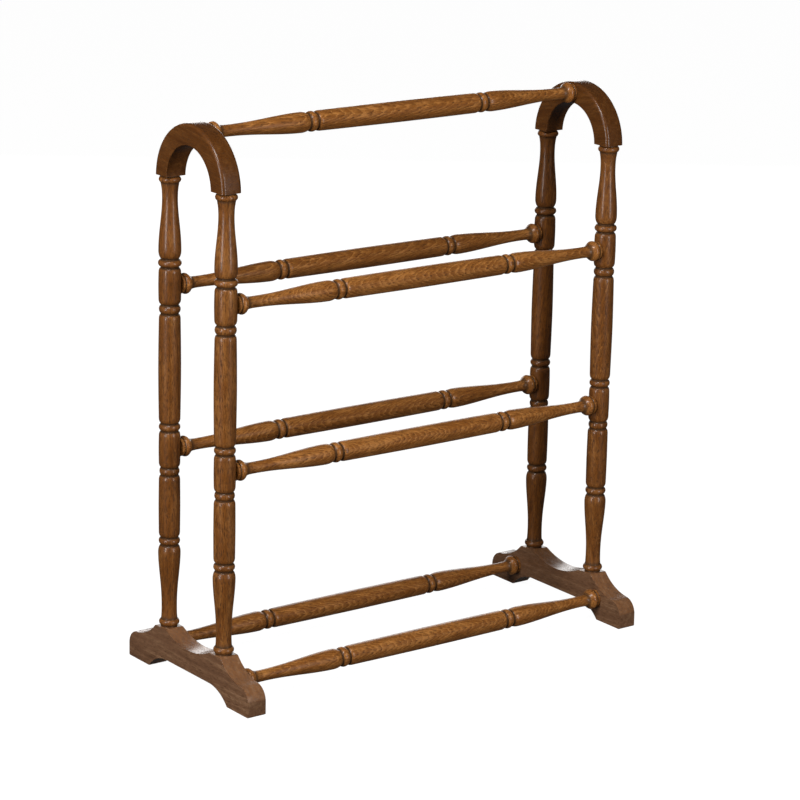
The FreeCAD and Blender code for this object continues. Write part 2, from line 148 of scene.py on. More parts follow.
class SawnSizes(bpy.types.PropertyGroup):
    """Sizes of the sawn feet and arches."""

    pad_half_length: length("Pad half length", "Half of the flat that a post stands on", 15.0)
    ogee_run: length("Ogee run", "Pad corner to the corner of the ogee", 23.0)
    ogee_corner: length("Ogee corner height", "Floor to the corner of the ogee", 48.3)
    toe_corner: length("Toe corner height", "Floor to the corner of the toe", 41.6)
    toe_round: length("Toe rounding", "Radius at the end of a toe", 24.0)
    hollow_corner: length("Hollow corner height", "Floor to where the slopes of the hollow would meet", 43.5)
    sole_length: length("Sole length", "Along the floor under a toe", 58.0)
    cutout_height: length("Cut-out height", "Floor to the underside of a foot", 23.5)
    cutout_run: length("Cut-out run", "Slope of the cut-out along the floor", 20.4)
    foot_edge: length("Foot edge rounding", "Router rounding of a foot's upper edges", 3.8)
    arch_width: length("Arch width", "Across an arch's band", 32.5)
    arch_trim: length("Arch trim", "Sawn end above the centre of the half ring", 2.5)
    arch_outer_round: length("Arch outer rounding", "Router rounding of the outer edges", 6.0)
    arch_inner_round: length("Arch inner rounding", "Easing of the inner edges", 1.2)


class OakFinish(bpy.types.PropertyGroup):
    """The stain and the varnish."""

    pale: colour("Pale wood", "Latewood under the stain", (0.42, 0.195, 0.050))
    body: colour("Body", "Most of the stained wood", (0.225, 0.086, 0.016))
    dark: colour("Dark wood", "Earlywood that drank the stain", (0.105, 0.038, 0.008))
    pore: colour("Pores", "Stain left in the open pores", (0.040, 0.015, 0.004))
    # Dark in grooves and coves: stain left lying there and painted shade.
    groove: colour("Grooves", "Stain left in grooves and coves", (0.040, 0.018, 0.006))
    # Pale on crests and edges: real rubbing and painted highlight, and painted light on a foot's upper
    # faces.
    pale_rub_and_highlight: colour("Worn edges", "Wood rubbed pale on crests and edges", (0.35, 0.145, 0.048))
    ring_width: bpy.props.FloatProperty(
        name="Ring width", description="Growth ring in millimetres", default=2.0
    )
    gloss: factor("Gloss", "Weight of the varnish coat", 0.20)


class StageSettings(bpy.types.PropertyGroup):
    """The floor, the lights and the camera."""

    floor: colour("Floor", "Colour of the floor", (0.86, 0.86, 0.86))
    azimuth: bpy.props.FloatProperty(
        name="Azimuth", description="Camera's way round", default=math.radians(-36.854), subtype="ANGLE"
    )
    elevation: bpy.props.FloatProperty(
        name="Elevation", description="Camera's height angle", default=math.radians(15.435), subtype="ANGLE"
    )
    roll: bpy.props.FloatProperty(
        name="Roll", description="Camera's tilt", default=math.radians(1.245), subtype="ANGLE"
    )
    distance: length("Distance", "Camera to its target", 5016.0)
    lens: bpy.props.FloatProperty(name="Lens", description="Focal length in millimetres", default=143.0)


# ---------------------------------------------------------------- outlines

CURVE_STEPS = 14
STATION_GAP = 6 * MM
BARREL_CORNER = 8 * MM
BARREL_SQUARENESS = 1.85
VASE_SQUARENESS = 1.7
SWELL_POWER = 1.6
# How much a stretch swells between its ends, by where it is.
SHORT_BARREL_SWELL = 0.35 * MM
MIDDLE_BLOCK_SWELL = 0.3 * MM
LONG_BARREL_SWELL = 0.9 * MM
UPPER_BLOCK_SWELL = 0.4 * MM
RAIL_SWELL = 0.6 * MM
RAIL_CORNER = 7 * MM
RAIL_SQUARENESS = 1.9
# How far down its taper a vase stays full: above 1 is fuller.
LOWER_VASE_FULLNESS = 0.90
UPPER_VASE_FULLNESS = 1.04
RAIL_VASE_FULLNESS = 0.93
# Flares from a neck: millimetres from the ring or crest, and the share of the rise.
BASE_FLARE = ((2.2, 0.58), (4.5, 0.38), (7.5, 0.23), (11.0, 0.12), (15.0, 0.04), (19.0, 0.0))
HEAD_FLARE = ((18.0, 0.05), (14.0, 0.14), (10.0, 0.30), (7.0, 0.48), (4.0, 0.72), (1.5, 0.92), (0.0, 1.0))
COLLAR_FLARE = ((20.0, 0.0), (15.0, 0.03), (12.0, 0.08), (9.5, 0.18), (7.5, 0.34), (5.5, 0.58), (3.5, 0.82))
# A collar round its crest: millimetres along from the crest, and millimetres below it.
COLLAR_ROUND = (
    (-1.6, 0.3), (0.0, 0.0), (1.4, 0.15), (2.8, 0.6), (3.8, 1.2), (4.6, 2.0), (5.2, 2.9), (5.9, 2.6),
    (6.5, 1.9),
)
END_EASE = 0.4 * MM


class Outline:
    """Stations of a turned piece: distance along its axis, and radius."""

    def __init__(self, along, radius):
        self.stations = [(along, radius)]

    def to(self, along, radius):
        self.stations.append((along, radius))

    def bead(self, start, end, radius, groove, flat=0.0):
        """A band between two grooves: an arc between the edges of their flat floors."""
        half = (end - start - flat) / 2
        swing = 2 * math.atan2(radius - groove, half)
        bend = half / math.sin(swing)
        for step in range(CURVE_STEPS + 1):
            turn = swing * (2 * step / CURVE_STEPS - 1)
            self.to((start + end) / 2 + bend * math.sin(turn), radius - bend * (1 - math.cos(turn)))
        self.to(end, groove)

    def corner(self, groove_at, full_at, groove, radius, flat, squareness):
        """Stations from the edge of a groove's floor up a rounded corner to the full radius."""
        edge = groove_at + math.copysign(flat / 2, full_at - groove_at)
        found = [(edge, groove)]
        for step in range(1, CURVE_STEPS + 1):
            run = 1 - math.cos(math.pi / 2 * step / CURVE_STEPS)
            rise = (1 - (1 - run) ** squareness) ** (1 / squareness)
            found.append((edge + (full_at - edge) * run, groove + (radius - groove) * rise))
        return found

    def barrel(self, start, end, radius, groove, flat, ease):
        """A plain stretch with rounded ends and a slight swell."""
        corner = BARREL_CORNER
        slim = radius - ease
        self.stations += self.corner(start, start + corner, groove, slim, flat, BARREL_SQUARENESS)
        pieces = max(6, int((end - start) / STATION_GAP))
        for step in range(1, pieces):
            spot = step / pieces
            swell = 1 - abs(2 * spot - 1) ** SWELL_POWER
            self.to(start + corner + (end - start - 2 * corner) * spot, slim + ease * swell)
        far = self.corner(end, end - corner, groove, slim, flat, BARREL_SQUARENESS)
        self.stations += far[::-1] + [(end, groove)]

    def vase(self, groove_at, neck_at, radius, groove, neck, flat, shoulder, fullness):
        """Stations from beside a groove over a round shoulder and down a long taper to a neck."""
        way = math.copysign(1.0, neck_at - groove_at)
        full_at = groove_at + way * shoulder
        found = self.corner(groove_at, full_at, groove, radius, flat, VASE_SQUARENESS)
        pieces = 2 * CURVE_STEPS
        for step in range(1, pieces + 1):
            spot = step / pieces
            level = (1 + math.cos(math.pi * spot ** fullness)) / 2
            found.append((full_at + (neck_at - full_at) * spot, neck + (radius - neck) * level))
        return found


def post_outline(sizes, floor_pad, arch_foot, middle_height, upper_height):
    """A post's stations, from the foot's pad up to the underside of the arch."""
    s = sizes
    groove, flat = s.groove_radius, s.groove_flat
    half_block, bead = s.block_length / 2, s.bead_width
    low_bead_start = s.lower_bead_height - bead / 2
    low_bead_end = s.lower_bead_height + bead / 2
    middle_start, middle_end = middle_height - half_block, middle_height + half_block
    upper_start, upper_end = upper_height - half_block, upper_height + half_block
    long_barrel_start, long_barrel_end = middle_end + bead, upper_start - s.upper_bead_width
    full_bead_end = upper_end + s.full_bead_width
    ring_low = floor_pad + s.base_cove
    ring_low_end = ring_low + s.ring_width
    ring_high = arch_foot - s.head_cove - s.ring_width
    base_rise, head_rise = s.base_radius - s.neck_radius, s.head_radius - s.neck_radius
    vase = (s.vase_radius, groove, s.neck_radius, flat, s.shoulder)

    post = Outline(floor_pad, s.base_radius)
    post.to(ring_low, s.base_radius - END_EASE)
    post.bead(ring_low, ring_low_end, s.bottom_ring_radius, s.base_radius)
    for run, level in BASE_FLARE:
        post.to(ring_low_end + run * MM, s.neck_radius + base_rise * level)
    neck_at = post.stations[-1][0] + 4 * MM
    post.stations += post.vase(low_bead_start, neck_at, *vase, LOWER_VASE_FULLNESS)[::-1]
    post.to(low_bead_start, groove)
    post.bead(low_bead_start, low_bead_end, s.flat_bead_radius, groove, flat)
    post.barrel(low_bead_end, middle_start - bead, s.short_barrel_radius, groove, flat, SHORT_BARREL_SWELL)
    post.bead(middle_start - bead, middle_start, s.lowest_flat_bead_radius, groove, flat)
    post.barrel(middle_start, middle_end, s.middle_block_radius, groove, flat, MIDDLE_BLOCK_SWELL)
    post.bead(middle_end, long_barrel_start, s.flat_bead_radius, groove, flat)
    post.barrel(long_barrel_start, long_barrel_end, s.long_barrel_radius, groove, flat, LONG_BARREL_SWELL)
    post.bead(long_barrel_end, upper_start, s.flat_bead_radius, groove, flat)
    post.barrel(upper_start, upper_end, s.upper_block_radius, groove, flat, UPPER_BLOCK_SWELL)
    post.bead(upper_end, full_bead_end, s.full_bead_radius, groove, flat)
    post.stations += post.vase(full_bead_end, ring_high - s.neck_length, *vase, UPPER_VASE_FULLNESS)
    for back, level in HEAD_FLARE:
        post.to(ring_high - back * MM, s.neck_radius + head_rise * level)
    post.bead(ring_high, ring_high + s.ring_width, s.top_ring_radius, s.head_radius)
    post.to(arch_foot, s.head_radius)
    return post.stations


def rail_outline(sizes, post_x, shoulder_x):
    """The stations of a rail's right half, from its middle to the shoulder."""
    s = sizes
    groove, flat = s.rail_groove_radius, s.groove_flat
    bead_start = s.rail_bead_offset - s.rail_bead_width / 2
    bead_end = s.rail_bead_offset + s.rail_bead_width / 2
    crest = post_x - s.collar_inset
    neck_at = crest - s.rail_neck_length
    slim = s.rail_radius - RAIL_SWELL
    half = Outline(0, s.rail_radius)
    corner_at = bead_start - RAIL_CORNER
    pieces = 2 * CURVE_STEPS
    for step in range(1, pieces):
        spot = step / pieces
        half.to(corner_at * spot, s.rail_radius - RAIL_SWELL * spot**SWELL_POWER)
    half.stations += half.corner(bead_start, corner_at, groove, slim, flat, RAIL_SQUARENESS)[::-1]
    half.to(bead_start, groove)
    half.bead(bead_start, bead_end, s.rail_bead_radius, groove, flat)
    vase = (s.rail_vase_radius, groove, s.rail_neck_radius, flat, s.shoulder)
    half.stations += half.vase(bead_end, neck_at, *vase, RAIL_VASE_FULLNESS)
    rise = s.collar_radius - s.rail_neck_radius
    for back, level in COLLAR_FLARE:
        half.to(crest - back * MM, s.rail_neck_radius + rise * level)
    for run, drop in COLLAR_ROUND:
        half.to(crest + run * MM, s.collar_radius - drop * MM)
    half.to(shoulder_x - END_EASE, s.rail_end_radius)
    half.to(shoulder_x, s.rail_end_radius - END_EASE)
    return half.stations


def rounded(corners):
    """Points round closed (y, z, radius) corners, with each rounding sampled as an arc."""
    points = []
    for index, (y, z, radius) in enumerate(corners):
        corner = Vector((y, z))
        before = Vector(corners[index - 1][:2]) - corner
        after = Vector(corners[(index + 1) % len(corners)][:2]) - corner
        if radius <= 0:
            points.append(corner)
            continue
        half_angle = before.angle(after) / 2
        reach = radius / math.tan(half_angle)
        inward = (before.normalized() + after.normalized()).normalized()
        centre = corner + inward * radius / math.sin(half_angle)
        start = corner + before.normalized() * reach - centre
        swing = (corner + after.normalized() * reach - centre).angle_signed(start)
        pieces = max(3, int(abs(swing) * max(radius / (2.2 * MM), 7)))
        for step in range(pieces + 1):
            turn = Matrix.Rotation(swing * step / pieces, 2)
            points.append(centre + turn @ start)
    return points


# ---------------------------------------------------------------- modelling by hand


def deselect_all():
    if bpy.context.mode != "OBJECT":
        bpy.ops.object.mode_set(mode="OBJECT")
    bpy.ops.object.select_all(action="DESELECT")


def draw_outline(name, points):
    """A new object whose mesh is a chain of edges, drawn by extruding one vertex from point to point."""
    deselect_all()
    bpy.ops.mesh.primitive_plane_add(size=MM, location=(0, 0, 0))
    piece = bpy.context.object
    piece.name = name
    piece.data.name = name
    bpy.ops.object.mode_set(mode="EDIT")
    bpy.ops.mesh.select_mode(type="VERT")
    bpy.ops.mesh.select_all(action="SELECT")
    bpy.ops.mesh.merge(type="CENTER")
    bpy.ops.transform.translate(value=points[0])
    for last, point in zip(points, points[1:]):
        bpy.ops.mesh.extrude_region_move(TRANSFORM_OT_translate={"value": Vector(point) - Vector(last)})
    return piece


def close_mesh():
    """Welds what a spin or a mirror left doubled, and turns every face outwards."""
    bpy.ops.mesh.select_all(action="SELECT")
    bpy.ops.mesh.remove_doubles(threshold=WELD)
    bpy.ops.mesh.normals_make_consistent(inside=False)
    bpy.ops.object.mode_set(mode="OBJECT")


def settle(piece, turn, place):
    """Turns and places a finished piece, and applies that to its mesh."""
    deselect_all()
    piece.select_set(True)
    bpy.context.view_layer.objects.active = piece
    piece.rotation_euler = turn
    piece.location = place
    bpy.ops.object.transform_apply(location=True, rotation=True, scale=True)
    bpy.ops.object.shade_smooth_by_angle(angle=SMOOTH_BELOW)
    return piece


def copy_piece(source, name, place):
    """A copy with its own mesh, settled elsewhere."""
    deselect_all()
    source.select_set(True)
    bpy.context.view_layer.objects.active = source
    bpy.ops.object.duplicate(linked=False)
    piece = bpy.context.object
    piece.name = name
    piece.data.name = name
    return settle(piece, (0, 0, 0), place)


def lathe(name, stations, steps):
    """A turned piece on the Z axis."""
    closed = [(stations[0][0], 0.0)] + stations + [(stations[-1][0], 0.0)]
    piece = draw_outline(name, [(radius, 0.0, along) for along, radius in closed])
    bpy.ops.mesh.select_all(action="SELECT")
    bpy.ops.mesh.spin(steps=steps, angle=2 * math.pi, center=(0, 0, 0), axis=(0, 0, 1))
    close_mesh()
    return piece


def coordinates(piece):
    found = np.empty(len(piece.data.vertices) * 3, np.float32)
    piece.data.vertices.foreach_get("co", found)
    return found.reshape(-1, 3)


def mark(piece, name, values):
    """Stores one number or vector on each vertex, for the material to read."""
    kind, key = ("FLOAT_VECTOR", "vector") if values.ndim == 2 else ("FLOAT", "value")
    attribute = piece.data.attributes.new(name, kind, "POINT")
    attribute.data.foreach_set(key, np.ascontiguousarray(values, np.float32).ravel())


def mark_grain(piece, along, centre, pith, tilt, twist):
    """The piece's place in its board, in millimetres: along the grain, then across from the pith."""
    local = (coordinates(piece) - np.array(centre, np.float32)) / MM
    across = [axis for axis in range(3) if axis != along]
    a, u, v = local[:, along], local[:, across[0]], local[:, across[1]]
    cosine, sine = math.cos(twist), math.sin(twist)
    p = cosine * u - sine * v + pith[0] + tilt[0] * a
    q = sine * u + cosine * v + pith[1] + tilt[1] * a
    mark(piece, "grain", np.stack([a + 37.0 * pith[1], p, q], 1))


def mark_shade(piece, shade):
    """How much paler or darker than its neighbours the whole piece is."""
    mark(piece, "shade", np.full(len(piece.data.vertices), shade))


def relief_of(stations):
    """How proud or sunk each station is against its neighbourhood, in millimetres."""
    along = np.array([a for a, r in stations])
    radius = np.array([r for a, r in stations])
    window = np.linspace(-RELIEF_REACH, RELIEF_REACH, 27)
    near = np.stack([np.interp(along + shift, along, radius) for shift in window]).mean(0)
    return along, (radius - near) / MM


def mark_relief(piece, stations):
    """Marks a turned piece that still lies on the Z axis."""
    along, relief = relief_of(stations)
    mark(piece, "relief", np.interp(coordinates(piece)[:, 2], along, relief))


def stand_for(piece, node, material):
    """Puts a finished piece in the place of its CAD node."""
    piece.data.materials.clear()
    piece.data.materials.append(material)
    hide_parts(node)
    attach(piece, "root")


# ---------------------------------------------------------------- shader arithmetic


class Wire:
    """A socket of a material's nodes that works in Python arithmetic."""

    def __init__(self, nodes, socket):
        self.nodes = nodes
        self.socket = socket

    def maths(self, operation, *values):
        return self.nodes.add("ShaderNodeMath", {"operation": operation}, *values)

    def __add__(self, other):
        return self.maths("ADD", self, other)

    __radd__ = __add__

    def __sub__(self, other):
        return self.maths("SUBTRACT", self, other)

    def __rsub__(self, other):
        return self.maths("SUBTRACT", other, self)

    def __mul__(self, other):
        return self.maths("MULTIPLY", self, other)

    __rmul__ = __mul__

    def __truediv__(self, other):
        return self.maths("DIVIDE", self, other)

    def __pow__(self, other):
        return self.maths("POWER", self, other)


class Nodes:
    """A material's node tree, built by one method."""

    def __init__(self, name):
        self.material = bpy.data.materials.new(name)
        self.material.use_nodes = True
        self.tree = self.material.node_tree
        self.tree.nodes.clear()

    def add(self, kind, settings, *values, output=0, **named):
        """Adds a node: its settings first, then its inputs in order or by name."""
        node = self.tree.nodes.new(kind)
        for key, value in settings.items():
            setattr(node, key, value)
        wanted = list(zip(node.inputs, values))
        wanted += [(node.inputs[key.replace("_", " ")], value) for key, value in named.items()]
        for socket, value in wanted:
            if isinstance(value, Wire):
                self.tree.links.new(value.socket, socket)
            elif value is not None:
                socket.default_value = value
        return Wire(self, node.outputs[output])

    def stretch(self, vector, along, across, depth):
        return self.add("ShaderNodeVectorMath", {"operation": "MULTIPLY"}, vector, (along, across, depth))

    def noise(self, vector, detail=2.0, roughness=0.5):
        settings = {"Scale": 1.0, "Detail": detail, "Roughness": roughness}
        return self.add("ShaderNodeTexNoise", {}, Vector=vector, **settings)

    def step(self, value, low, high):
        """A smooth step between two levels."""
        settings = {"interpolation_type": "SMOOTHSTEP"}
        return self.add("ShaderNodeMapRange", settings, value, low, high, 0.0, 1.0)

    def blend(self, factor, first, second):
        """Mixes two colours."""
        node = self.tree.nodes.new("ShaderNodeMix")
        node.data_type = "RGBA"
        for socket, value in zip((node.inputs[0], node.inputs[6], node.inputs[7]), (factor, first, second)):
            if isinstance(value, Wire):
                self.tree.links.new(value.socket, socket)
            elif isinstance(value, (int, float)):
                socket.default_value = value
            else:
                socket.default_value = (*value, 1.0)
        return Wire(self, node.outputs[2])


def stained(tint, tone, redness, grey):
    """A wood colour under more or less stain: darker, redder or greyer."""
    red, green, blue = tint[0], tint[1] * (1 - 0.16 * redness), tint[2] * (1 - 0.2 * redness)
    dull = (red + green + blue) / 3
    return [tone * (c + (dull - c) * grey) for c in (red, green, blue)]


# How each group of pieces takes the stain and shows its grain.
POST_OAK = {"tone": 0.55, "redness": 0.8, "pore_depth": 1.3, "ring_strength": 0.8}
RAIL_OAK = {"tone": 0.79, "redness": 0.6, "blotch": 0.8}
# A foot takes more of the pale crest colour: rubbing and painted highlight on its edges, painted light on
# its upper faces.
FOOT_OAK = {
    "tone": 0.69, "redness": 0.3, "grey": 0.34, "ring_strength": 0.4, "blotch": 0.5, "rub_and_highlight_share": 0.60,
    "sheen": 0.27,
}
ARCH_OAK = {
    "tone": 0.30, "redness": 1.0, "pore_depth": 1.2, "ring_strength": 0.9, "blotch": 0.6, "sheen": 0.28
}


def oak(name, finish, tone, redness, grey=0, pore_depth=1, ring_strength=1, blotch=1, rub_and_highlight_share=0.32, sheen=0.36):
    """Stained, varnished oak that reads each piece's grain, relief and shade; crests and edges go pale with
    real rubbing and painted highlight, grooves dark with stain and painted shade.
    """
    n = Nodes(name)
    grain = n.add("ShaderNodeAttribute", {"attribute_name": "grain"}, output=1)
    relief = n.add("ShaderNodeAttribute", {"attribute_name": "relief"}, output=2)
    shade = n.add("ShaderNodeAttribute", {"attribute_name": "shade"}, output=2)
    parts = n.tree.nodes.new("ShaderNodeSeparateXYZ")
    n.tree.links.new(grain.socket, parts.inputs[0])
    across, depth = Wire(n, parts.outputs[1]), Wire(n, parts.outputs[2])
    # Growth rings round the pith, pushed out of true by a slow wander and a fine ripple.
    wander = n.noise(n.stretch(grain, 0.005, 0.030, 0.030), 2.0) * 8.0
    ripple = n.noise(n.stretch(grain, 0.080, 0.300, 0.300), 3.0, 0.6) * 3.0
    radius = (across * across + depth * depth) ** 0.5
    rings = (radius + wander + ripple) / finish.ring_width
    phase = n.add("ShaderNodeMath", {"operation": "FRACT"}, rings)
    vigour = n.add("ShaderNodeTexNoise", {"noise_dimensions": "1D"}, W=rings * 0.9, Detail=1.0)
    late = n.step(phase, 0.62, 0.84) * n.step(phase, 1.0, 0.92) * n.step(vigour, 0.36, 0.66)
    early = n.step(phase, 0.55, 0.05)
    # Open pores: long dashes crowd the earlywood, short ticks lie everywhere.
    dashes = n.step(n.noise(n.stretch(grain, 0.090, 0.56, 0.56), 2.0, 0.6), 0.50, 0.64)
    ticks = n.step(n.noise(n.stretch(grain, 0.17, 1.00, 1.00), 2.0, 0.6), 0.50, 0.66)
    pores = (dashes * (0.50 + early * 0.50) * 0.62 + ticks * (0.55 + early * 0.45) * 0.56) * pore_depth
    # Uneven stain: streaks along the grain, broad clouds and a finer mottle.
    streaks = n.noise(n.stretch(grain, 0.008, 0.16, 0.16), 4.0, 0.6)
    clouds = n.noise(n.stretch(grain, 0.012, 0.045, 0.045), 2.0)
    mottle = n.noise(n.stretch(grain, 0.060, 0.150, 0.150), 2.0)
    lightness = 0.54 + shade + (streaks - 0.5) * 1.1 + ((clouds - 0.5) * 0.6 + (mottle - 0.5) * 0.5) * blotch
    lightness = lightness + late * (0.34 * ring_strength) - early * (0.12 * ring_strength)
    pale, body, dark = (stained(c, tone, redness, grey) for c in (finish.pale, finish.body, finish.dark))
    wood = n.blend(n.step(lightness, 0.05, 0.48), dark, body)
    wood = n.blend(n.step(lightness, 0.46, 0.98), wood, pale)
    wood = n.blend(n.add("ShaderNodeMath", {"operation": "MINIMUM"}, pores, 0.85), wood, finish.pore)
    # Pale on the crests and edges: real rubbing and painted highlight, and painted light on a foot's upper
    # faces. Dark in the grooves: stain left lying there and painted shade.
    crest = n.step(relief, 0.45, 2.0) * n.step(n.noise(n.stretch(grain, 0.10, 0.35, 0.35), 3.0), 0.30, 0.62)
    # Painted shade, with stain, in whatever is sunk below its neighbourhood.
    sunk = n.step(relief, 0.05, -1.0)
    pale_rub_and_highlight = stained(finish.pale_rub_and_highlight, 0.25 + 0.65 * tone, 0.4 * redness, 0.0)
    wood = n.blend(crest * rub_and_highlight_share, wood, pale_rub_and_highlight)
    wood = n.blend(sunk * 0.85, wood, finish.groove)
    rough = sheen + (mottle - 0.5) * 0.20 + pores * 0.20 + sunk * 0.30 - crest * 0.06
    height = n.noise(n.stretch(grain, 0.05, 0.6, 0.6), 2.0) * 0.35 - pores * 0.7 - early * 0.10
    bump = n.add("ShaderNodeBump", {}, Strength=0.28, Distance=0.35 * MM, Height=height)
    shader = n.tree.nodes.new("ShaderNodeBsdfPrincipled")
    shader.inputs["Coat Weight"].default_value = finish.gloss
    shader.inputs["Coat Roughness"].default_value = 0.16
    shader.inputs["Specular IOR Level"].default_value = 0.14
    for key, wire in (("Base Color", wood), ("Roughness", rough), ("Normal", bump)):
        n.tree.links.new(wire.socket, shader.inputs[key])
    out = n.tree.nodes.new("ShaderNodeOutputMaterial")
    n.tree.links.new(shader.outputs[0], out.inputs[0])
    return n.material


# ---------------------------------------------------------------- pieces


def middle_of(node):
    low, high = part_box(node)
    return (low + high) / 2


def post_heights():
    """Where the posts stand and end, read from the feet and arches, and where the rails enter."""
    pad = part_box("left_foot")[1].z
    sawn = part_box("left_arch")[0].z
    return pad, sawn, middle_of("middle_front_rail").z, middle_of("upper_front_rail").z


class RACK_OT_turn_posts(bpy.types.Operator):
    """Turns one post on the lathe and stands its copies at the corners"""

    bl_idname = "quilt_rack.turn_posts"
    bl_label = "Turn Posts"

    def execute(self, context):
        sizes = context.scene.rack_turning
        stations = post_outline(sizes, *post_heights())
        model = lathe("post_model", stations, sizes.steps)
        mark_relief(model, stations)
        material = oak("post_oak", context.scene.rack_finish, **POST_OAK)
        boards = {
            ("left", "front"): ((40, 50), (0.050, 0.010), 0.5, 0.08),
            ("left", "back"): ((30, 54), (-0.060, 0.030), 2.0, -0.04),
            ("right", "front"): ((-58, 22), (0.12, -0.10), 1.2, 0.0),
            ("right", "back"): ((44, -44), (0.070, 0.020), 4.1, -0.14),
        }
        for (side, way), (pith, tilt, twist, shade) in boards.items():
            node = f"{side}_{way}_post"
            place = middle_of(node)
            piece = copy_piece(model, f"turned_{node}", (place.x, place.y, 0))
            mark_grain(piece, 2, (place.x, place.y, 0), pith, tilt, twist)
            mark_shade(piece, shade)
            stand_for(piece, node, material)
        bpy.data.objects.remove(model)
        return {"FINISHED"}


class RACK_OT_turn_rails(bpy.types.Operator):
    """Turns the rails on the lathe and lays them between the end frames"""

    bl_idname = "quilt_rack.turn_rails"
    bl_label = "Turn Rails"

    def execute(self, context):
        sizes = context.scene.rack_turning
        post_x = middle_of("right_front_post").x
        shoulders = {
            "top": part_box("right_arch")[0].x,
            "upper": post_x - sizes.upper_block_radius + SEAT_DEPTH,
            "middle": post_x - sizes.middle_block_radius + SEAT_DEPTH,
            "bottom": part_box("right_foot")[0].x,
        }
        material = oak("rail_oak", context.scene.rack_finish, **RAIL_OAK)
        boards = {
            "top_rail": ((-52, 20), (0.10, -0.04), 0.3, 0.06),
            "upper_front_rail": ((-58, 14), (-0.16, 0.05), 0.1, 0.10),
            "upper_back_rail": ((-46, 30), (0.12, -0.05), 0.4, 0.04),
            "middle_front_rail": ((-60, 22), (0.20, -0.07), 0.0, 0.09),
            "middle_back_rail": ((-50, 10), (-0.14, 0.06), -0.2, 0.06),
            "bottom_front_rail": ((-56, 26), (0.17, -0.06), 0.1, 0.09),
            "bottom_back_rail": ((-62, 12), (0.15, -0.08), -0.1, 0.05),
        }
        for node, (pith, tilt, twist, shade) in boards.items():
            half = rail_outline(sizes, post_x, shoulders[node.split("_")[0]])
            stations = [(-along, radius) for along, radius in half[:0:-1]] + half
            place = middle_of(node)
            piece = lathe(f"turned_{node}", stations, sizes.steps)
            mark_relief(piece, stations)
            settle(piece, (0, math.pi / 2, 0), place)
            mark_grain(piece, 0, place, pith, tilt, twist)
            mark_shade(piece, shade)
            stand_for(piece, node, material)
        return {"FINISHED"}


def foot_corners(sizes, half_length, pad_height, post_y):
    """The (y, z, radius) corners of a foot, as the band saw follows them."""
    s = sizes
    straight = 1.5 * MM
    chamfer = 1.5 * MM

    def reach(before, corner, after, radius):
        return radius / math.tan((before - corner).angle(after - corner) / 2)

    def fullest(before, corner, after, kept_before, kept_after):
        way_in, way_out = before - corner, after - corner
        room = min(way_in.length - kept_before, way_out.length - kept_after) - straight
        return room * math.tan(way_in.angle(way_out) / 2)

    hollow = Vector((0, s.hollow_corner))
    pad_in = Vector((post_y - s.pad_half_length, pad_height))
    pad_out = Vector((post_y + s.pad_half_length, pad_height))
    ogee = Vector((pad_out.x + s.ogee_run, s.ogee_corner))
    toe = Vector((half_length, s.toe_corner))
    toe_low = Vector((half_length, chamfer))
    sole_out = Vector((half_length - chamfer, 0))
    sole_in = Vector((half_length - s.sole_length, 0))
    cut = Vector((sole_in.x - s.cutout_run, s.cutout_height))
    in_round, out_round = 8 * MM, 6 * MM
    in_reach = reach(hollow, pad_in, pad_out, in_round)
    out_reach = reach(pad_in, pad_out, ogee, out_round)
    right = [
        (*pad_in, in_round),
        (*pad_out, out_round),
        (*ogee, fullest(pad_out, ogee, toe, out_reach, reach(ogee, toe, toe_low, s.toe_round))),
        (*toe, s.toe_round),
        (*toe_low, 0),
        (*sole_out, 0),
        (*sole_in, 0),
        (*cut, fullest(sole_in, cut, Vector((-cut.x, cut.y)), 0, 0)),
    ]
    left = [(-y, z, radius) for y, z, radius in reversed(right)]
    hollow_round = fullest(Vector((-pad_in.x, pad_in.y)), hollow, pad_in, in_reach, in_reach)
    return [(*hollow, hollow_round)] + right + left


def select_edges(piece, wanted):
    """Selects in edit mode the edges whose two ends the test accepts."""
    bpy.ops.mesh.select_mode(type="EDGE")
    bpy.ops.mesh.select_all(action="DESELECT")
    bpy.ops.object.mode_set(mode="OBJECT")
    verts = piece.data.vertices
    for edge in piece.data.edges:
        edge.select = wanted(*(verts[i].co for i in edge.vertices))
    bpy.ops.object.mode_set(mode="EDIT")


